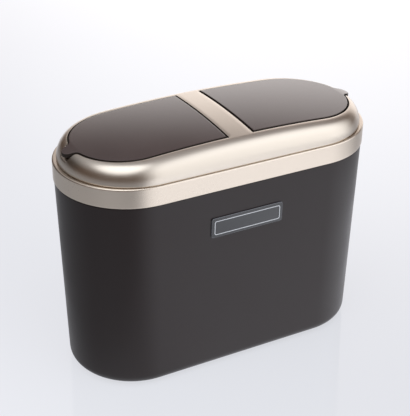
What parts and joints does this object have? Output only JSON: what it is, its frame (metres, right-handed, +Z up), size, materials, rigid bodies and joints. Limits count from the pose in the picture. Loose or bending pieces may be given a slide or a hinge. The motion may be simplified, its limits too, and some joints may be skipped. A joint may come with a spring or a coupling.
{
  "type": "car trash bin",
  "caption": "Oval car trash bin with a tapered body, a bag-holding ring and a crowned cover with hinged flaps on both sides of a middle bridge.",
  "frame": {"origin": "middle of the foot, on the surface that the bin stands on", "axes": "+X along the bin from the left flap to the right flap, -Y towards the front with the plate, +Z up"},
  "size_m": [0.2, 0.0884, 0.1545],
  "materials": {
    "brown_body": "finely textured matte dark brown plastic",
    "gold_ring": "satin champagne gold metallic paint on plastic",
    "gold_cover": "satin champagne gold metallic paint on plastic",
    "brown_flap": "semi-matte warm brown plastic",
    "steel_pin": "drawn steel wire",
    "dark_plate": "glossy dark plate with a bright silver frame line"
  },
  "bodies": {
    "bin": {"bin_body": "brown_body", "bag_ring": "gold_ring", "lid_cover": "gold_cover", "left_hinge_pin": "steel_pin", "right_hinge_pin": "steel_pin", "front_plate": "dark_plate"},
    "left_flap": {"left_flap": "brown_flap"},
    "right_flap": {"right_flap": "brown_flap"}
  },
  "joints": [
    {"name": "left_flap_hinge", "type": "hinge", "parent": "bin", "child": "left_flap", "pos_m": [-0.01495, 0, 0.15077], "axis": [0, 1, 0], "range_deg": [0, 95]},
    {"name": "right_flap_hinge", "type": "hinge", "parent": "bin", "child": "right_flap", "pos_m": [0.01495, 0, 0.15077], "axis": [0, -1, 0], "range_deg": [0, 95]}
  ]
}
